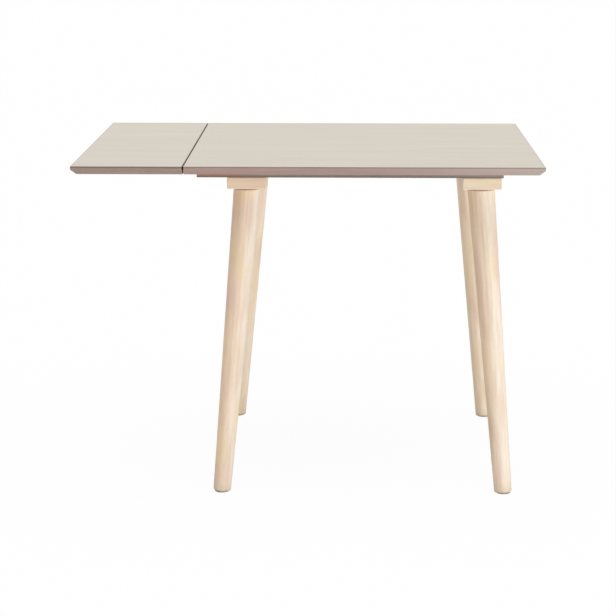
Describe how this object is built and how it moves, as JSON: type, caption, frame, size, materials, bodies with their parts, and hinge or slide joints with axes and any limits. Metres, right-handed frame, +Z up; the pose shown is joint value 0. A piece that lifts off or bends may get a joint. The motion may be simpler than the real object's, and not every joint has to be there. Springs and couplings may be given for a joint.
{
  "type": "extending dining table",
  "caption": "Square dining table with a thin under-bevelled top on splayed round legs, extended by a loose end leaf that rests on pull-out bars.",
  "frame": {"origin": "on the floor, under the middle of the extended top", "axes": "+X along the length from the leaf to the main top, -Y towards the front of the picture, +Z up"},
  "size_m": [1.05, 0.8, 0.769],
  "materials": {
    "board": "matt greige veneer on board, taupe edge",
    "stained_wood": "matt taupe stain",
    "pale_wood": "pale whitewashed satin lacquer",
    "steel": "zinc plated",
    "brass": "plain",
    "glide_plastic": "matt grey"
  },
  "bodies": {
    "table": {"main_top": "board", "front_rail": "stained_wood", "rear_rail": "stained_wood", "front_guide": "stained_wood", "rear_guide": "stained_wood", "left_cross_rail": "stained_wood", "right_cross_rail": "stained_wood", "front_stop_block": "stained_wood", "rear_stop_block": "stained_wood", "front_left_block": "pale_wood", "front_right_block": "pale_wood", "rear_left_block": "pale_wood", "rear_right_block": "pale_wood", "front_left_leg": "pale_wood", "front_right_leg": "pale_wood", "rear_left_leg": "pale_wood", "rear_right_leg": "pale_wood", "front_left_glide": "glide_plastic", "front_right_glide": "glide_plastic", "rear_left_glide": "glide_plastic", "rear_right_glide": "glide_plastic", "front_left_inner_bolt": "steel", "front_left_outer_bolt": "steel", "front_right_inner_bolt": "steel", "front_right_outer_bolt": "steel", "rear_left_inner_bolt": "steel", "rear_left_outer_bolt": "steel", "rear_right_inner_bolt": "steel", "rear_right_outer_bolt": "steel", "front_left_inner_bolt_insert": "brass", "front_left_outer_bolt_insert": "brass", "front_right_inner_bolt_insert": "brass", "front_right_outer_bolt_insert": "brass", "rear_left_inner_bolt_insert": "brass", "rear_left_outer_bolt_insert": "brass", "rear_right_inner_bolt_insert": "brass", "rear_right_outer_bolt_insert": "brass", "front_left_cross_screw": "steel", "front_right_cross_screw": "steel", "rear_left_cross_screw": "steel", "rear_right_cross_screw": "steel", "front_rail_stub_screw": "steel", "front_rail_middle_screw": "steel", "rear_rail_stub_screw": "steel", "rear_rail_middle_screw": "steel", "front_guide_left_screw": "steel", "front_guide_right_screw": "steel", "rear_guide_left_screw": "steel", "rear_guide_right_screw": "steel"},
    "front_bar": {"front_loper": "pale_wood", "front_stop_peg": "pale_wood"},
    "rear_bar": {"rear_loper": "pale_wood", "rear_stop_peg": "pale_wood"},
    "leaf": {"extension_leaf": "board", "front_dowel": "pale_wood", "middle_dowel": "pale_wood", "rear_dowel": "pale_wood"}
  },
  "joints": [
    {"name": "front_loper_slide", "type": "slide", "parent": "table", "child": "front_bar", "axis": [1, 0, 0], "range_m": [0, 0.212]},
    {"name": "rear_loper_slide", "type": "slide", "parent": "table", "child": "rear_bar", "axis": [1, 0, 0], "range_m": [0, 0.212]},
    {"name": "leaf_slide", "type": "slide", "parent": "table", "child": "leaf", "axis": [-1, 0, 0], "range_m": [0, 0.3]}
  ]
}
